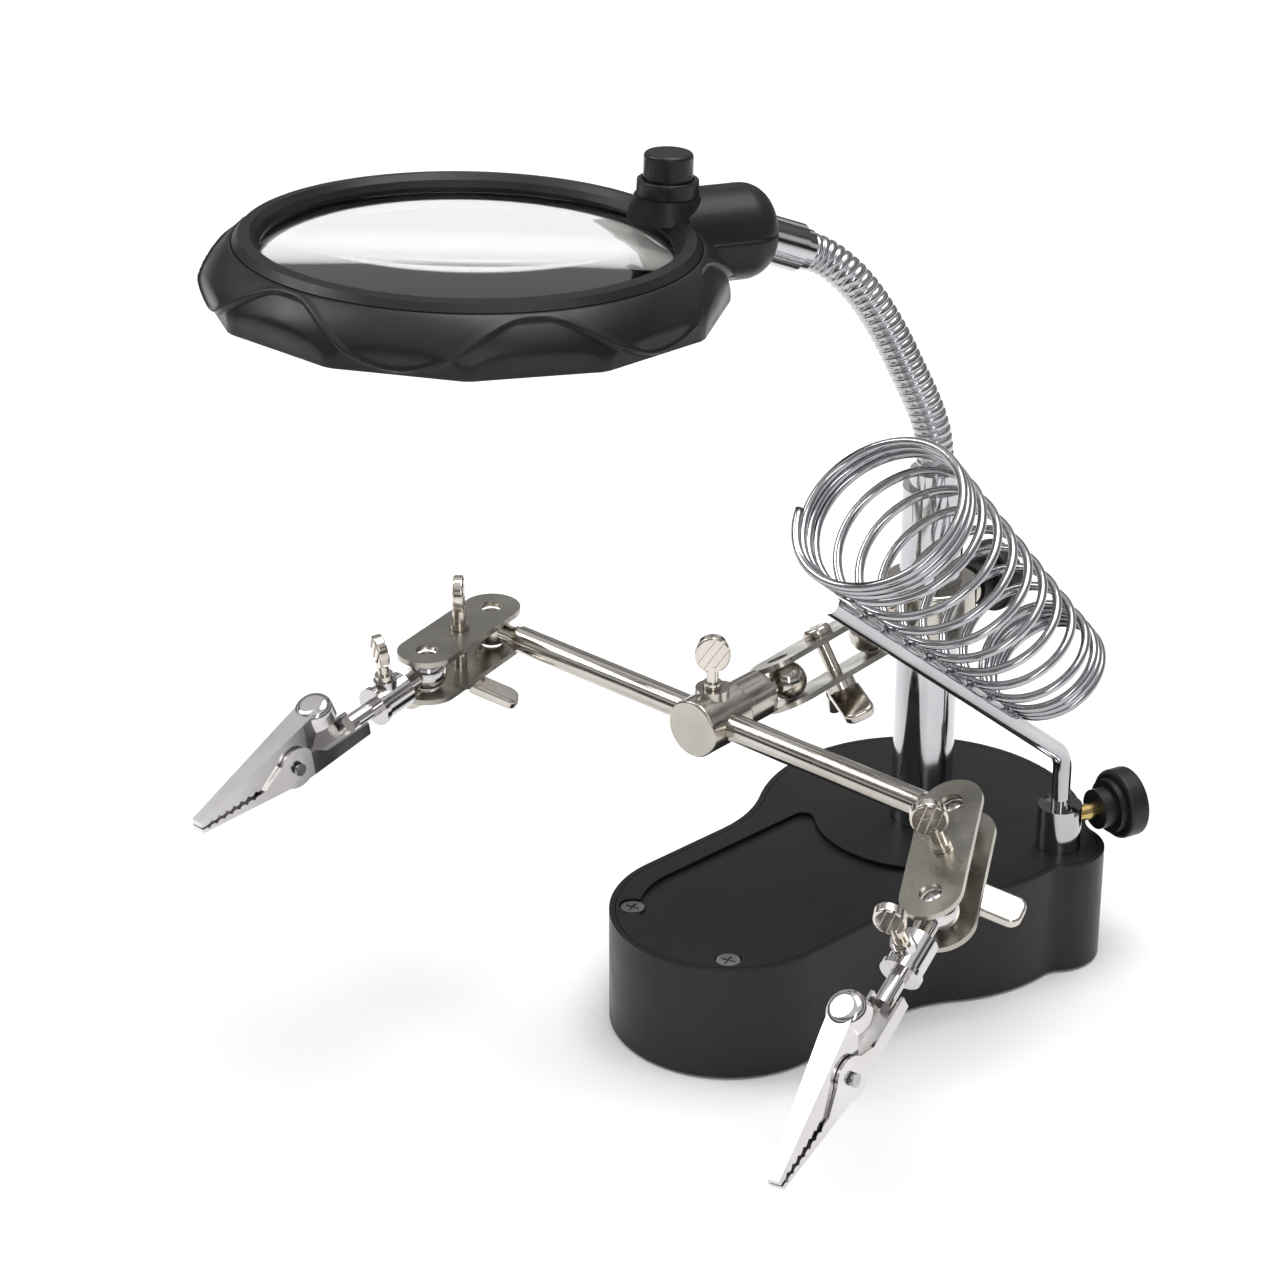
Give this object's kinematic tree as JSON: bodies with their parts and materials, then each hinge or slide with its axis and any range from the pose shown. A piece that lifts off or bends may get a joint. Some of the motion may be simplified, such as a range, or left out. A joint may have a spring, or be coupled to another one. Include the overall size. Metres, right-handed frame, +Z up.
{
  "type": "helping hands clamp",
  "caption": "weighted bench stand with a jointed ball-clamp arm that carries two sprung clips, a coil rest for an iron, and a lit round magnifier on a gooseneck",
  "frame": {"origin": "on the bench plane at the post's axis, the centre of the middle foot", "axes": "+Y from the front lobe to the rear lobe, +X to the iron rest's side, +Z up"},
  "size_m": [0.1941, 0.2012, 0.1905],
  "materials": {
    "black": "moulded satin black",
    "knob_black": "moulded satin black",
    "button_black": "moulded satin black",
    "screw_steel": "plain steel",
    "rubber": "matt black rubber",
    "iron": "raw casting",
    "cell": "sleeved cell",
    "contact_nickel": "bright nickel plate",
    "post_chrome": "bright chrome plate",
    "socket_chrome": "bright chrome plate",
    "coil_chrome": "bright chrome plate",
    "collar_nickel": "bright nickel plate",
    "ball_nickel": "bright nickel plate",
    "brass": "plain brass",
    "hose_chrome": "bright chrome plate",
    "plate_nickel": "bright nickel plate",
    "spade_nickel": "bright nickel plate",
    "wing_nickel": "bright nickel plate",
    "barrel_nickel": "bright nickel plate",
    "clip_nickel": "bright nickel plate",
    "pin_steel": "plain steel",
    "lens": "polished clear lens",
    "bifocal": "polished clear lens",
    "board": "white circuit board"
  },
  "bodies": {
    "base": {"base_shell": "black", "top_cover": "black", "cover_screws": "screw_steel", "bottom_plate": "black", "rubber_feet": "rubber", "ballast_weight": "iron", "battery_cells": "cell", "battery_contacts": "contact_nickel", "post_tube": "post_chrome", "post_nut_and_washer": "screw_steel", "rest_socket": "socket_chrome"},
    "battery_hatch": {"battery_door": "black"},
    "iron_rest": {"rest_rod": "socket_chrome", "rest_coil": "coil_chrome"},
    "rest_lock": {"rest_knob": "knob_black", "rest_screw": "brass"},
    "arm_collar": {"post_collar": "collar_nickel", "collar_ball_stud": "ball_nickel"},
    "collar_lock": {"collar_knob": "knob_black", "collar_screw": "brass"},
    "clamp_a": {"clamp_a_top_plate": "plate_nickel", "clamp_a_bottom_plate": "plate_nickel"},
    "clamp_a_screw": {"clamp_a_thumb_screw": "spade_nickel"},
    "clamp_a_nut": {"clamp_a_wing_nut": "wing_nickel"},
    "tee": {"tee_holder": "collar_nickel", "tee_ball_stud": "ball_nickel"},
    "tee_lock": {"tee_thumb_screw": "spade_nickel"},
    "bar": {"cross_bar": "ball_nickel"},
    "clamp_b": {"clamp_b_top_plate": "plate_nickel", "clamp_b_bottom_plate": "plate_nickel"},
    "clamp_b_screw": {"clamp_b_thumb_screw": "spade_nickel"},
    "clamp_b_nut": {"clamp_b_wing_nut": "wing_nickel"},
    "barrel_b": {"barrel_b": "barrel_nickel"},
    "barrel_b_screw": {"barrel_b_thumb_screw": "spade_nickel"},
    "clip_b": {"clip_b_lower_jaw": "clip_nickel", "clip_b_pivot_pin": "pin_steel", "clip_b_spring": "pin_steel"},
    "clip_b_jaw": {"clip_b_upper_jaw": "clip_nickel"},
    "clamp_c": {"clamp_c_top_plate": "plate_nickel", "clamp_c_bottom_plate": "plate_nickel"},
    "clamp_c_screw": {"clamp_c_thumb_screw": "spade_nickel"},
    "clamp_c_nut": {"clamp_c_wing_nut": "wing_nickel"},
    "barrel_c": {"barrel_c": "barrel_nickel"},
    "barrel_c_screw": {"barrel_c_thumb_screw": "spade_nickel"},
    "clip_c": {"clip_c_lower_jaw": "clip_nickel", "clip_c_pivot_pin": "pin_steel", "clip_c_spring": "pin_steel"},
    "clip_c_jaw": {"clip_c_upper_jaw": "clip_nickel"},
    "neck_base": {"lower_ferrule": "post_chrome"},
    "neck": {"gooseneck_hose": "hose_chrome"},
    "head": {"upper_ferrule": "post_chrome", "head_upper_shell": "black", "head_lower_shell": "black", "main_lens": "lens", "bifocal_lens": "bifocal", "switch_bezel": "button_black", "switch_body": "button_black", "led_board": "board", "head_screws": "screw_steel"},
    "button": {"push_button": "button_black"}
  },
  "joints": [
    {"name": "battery_door_slide", "type": "slide", "parent": "base", "child": "battery_hatch", "axis": [0, 1, 0], "range_m": [0, 0.0045]},
    {"name": "iron_rest_swivel", "type": "hinge", "parent": "base", "child": "iron_rest", "pos_m": [0.0305, 0.0125, 0.04], "axis": [0, 0, 1], "range_deg": [-12, 120]},
    {"name": "rest_knob_turn", "type": "hinge", "parent": "base", "child": "rest_lock", "pos_m": [0.0305, 0.0125, 0.034], "axis": [0.26, 0.9656, 0], "continuous": true},
    {"name": "collar_height", "type": "slide", "parent": "base", "child": "arm_collar", "axis": [0, 0, 1], "range_m": [-0.012, 0.01]},
    {"name": "collar_knob_turn", "type": "hinge", "parent": "arm_collar", "child": "collar_lock", "pos_m": [0, 0.01, 0.0815], "axis": [0, 1, 0], "continuous": true},
    {"name": "arm_swing", "type": "hinge", "parent": "arm_collar", "child": "clamp_a", "pos_m": [0, -0.0197, 0.0805], "axis": [-0.5001, -0.0972, 0.8605], "range_deg": [-25, 25]},
    {"name": "clamp_a_screw_turn", "type": "hinge", "parent": "clamp_a", "child": "clamp_a_screw", "pos_m": [0, -0.03212, 0.0791], "axis": [-0.5001, -0.0972, 0.8605], "continuous": true},
    {"name": "clamp_a_nut_turn", "type": "hinge", "parent": "clamp_a", "child": "clamp_a_nut", "pos_m": [0, -0.03212, 0.0791], "axis": [-0.5001, -0.0972, 0.8605], "continuous": true},
    {"name": "tee_swing", "type": "hinge", "parent": "clamp_a", "child": "tee", "pos_m": [0, -0.0445, 0.0777], "axis": [-0.5001, -0.0972, 0.8605], "range_deg": [-25, 25]},
    {"name": "tee_screw_turn", "type": "hinge", "parent": "tee", "child": "tee_lock", "pos_m": [0, -0.067, 0.0765], "axis": [0, 0, 1], "continuous": true},
    {"name": "bar_roll", "type": "hinge", "parent": "tee", "child": "bar", "pos_m": [0, -0.067, 0.0765], "axis": [0.9959, 0.0906, 0], "range_deg": [-15, 30]},
    {"name": "left_clamp_swing", "type": "hinge", "parent": "bar", "child": "clamp_b", "pos_m": [-0.06448, -0.07287, 0.0765], "axis": [0, 0, 1], "range_deg": [-40, 40]},
    {"name": "clamp_b_screw_turn", "type": "hinge", "parent": "clamp_b", "child": "clamp_b_screw", "pos_m": [-0.06113, -0.08491, 0.0765], "axis": [0, 0, 1], "continuous": true},
    {"name": "clamp_b_nut_turn", "type": "hinge", "parent": "clamp_b", "child": "clamp_b_nut", "pos_m": [-0.06113, -0.08491, 0.0765], "axis": [0, 0, 1], "continuous": true},
    {"name": "left_barrel_swing", "type": "hinge", "parent": "clamp_b", "child": "barrel_b", "pos_m": [-0.05778, -0.09695, 0.0765], "axis": [0, 0, 1], "range_deg": [-30, 30]},
    {"name": "barrel_b_screw_turn", "type": "hinge", "parent": "barrel_b", "child": "barrel_b_screw", "pos_m": [-0.05684, -0.10885, 0.07451], "axis": [0.013, -0.1635, 0.9865], "continuous": true},
    {"name": "left_clip_roll", "type": "hinge", "parent": "barrel_b", "child": "clip_b", "pos_m": [-0.05622, -0.11662, 0.07322], "axis": [0.078, -0.9834, -0.1641], "range_deg": [-20, 20]},
    {"name": "left_clip_open", "type": "hinge", "parent": "clip_b", "child": "clip_b_jaw", "pos_m": [-0.05449, -0.13839, 0.0704], "axis": [-0.9969, -0.0791, 0], "range_deg": [0, 20], "stiffness_Nm_per_rad": 0.12},
    {"name": "right_clamp_swing", "type": "hinge", "parent": "bar", "child": "clamp_c", "pos_m": [0.06498, -0.06109, 0.0765], "axis": [-0.0893, -0.3791, 0.921], "range_deg": [-40, 40]},
    {"name": "clamp_c_screw_turn", "type": "hinge", "parent": "clamp_c", "child": "clamp_c_screw", "pos_m": [0.07166, -0.07107, 0.07304], "axis": [-0.0893, -0.3791, 0.921], "continuous": true},
    {"name": "clamp_c_nut_turn", "type": "hinge", "parent": "clamp_c", "child": "clamp_c_nut", "pos_m": [0.07166, -0.07107, 0.07304], "axis": [-0.0893, -0.3791, 0.921], "continuous": true},
    {"name": "right_barrel_swing", "type": "hinge", "parent": "clamp_c", "child": "barrel_c", "pos_m": [0.07835, -0.08105, 0.06958], "axis": [-0.0893, -0.3791, 0.921], "range_deg": [-30, 30]},
    {"name": "barrel_c_screw_turn", "type": "hinge", "parent": "barrel_c", "child": "barrel_c_screw", "pos_m": [0.08105, -0.09166, 0.06444], "axis": [-0.0545, -0.4466, 0.893], "continuous": true},
    {"name": "right_clip_roll", "type": "hinge", "parent": "barrel_c", "child": "clip_c", "pos_m": [0.08281, -0.09859, 0.06108], "axis": [0.2231, -0.8772, -0.4251], "range_deg": [-20, 20]},
    {"name": "right_clip_open", "type": "hinge", "parent": "clip_c", "child": "clip_c_jaw", "pos_m": [0.08767, -0.11825, 0.05244], "axis": [-0.9733, -0.176, -0.1475], "range_deg": [0, 20], "stiffness_Nm_per_rad": 0.12},
    {"name": "neck_swivel", "type": "hinge", "parent": "base", "child": "neck_base", "pos_m": [0, 0, 0.112], "axis": [0, 0, 1], "range_deg": [-45, 45]},
    {"name": "neck_bend", "type": "hinge", "parent": "neck_base", "child": "neck", "pos_m": [0, 0, 0.118], "axis": [0.6929, -0.7211, 0], "range_deg": [-20, 12], "deforming": ["gooseneck_hose"]},
    {"name": "head_tilt", "type": "hinge", "parent": "neck", "child": "head", "pos_m": [-0.02106, -0.02023, 0.16398], "axis": [-0.9535, 0.2979, -0.0452], "range_deg": [-15, 20]},
    {"name": "button_press", "type": "slide", "parent": "head", "child": "button", "axis": [0.027, -0.0651, -0.9975], "range_m": [0, 0.0013], "stiffness_N_per_m": 400}
  ]
}
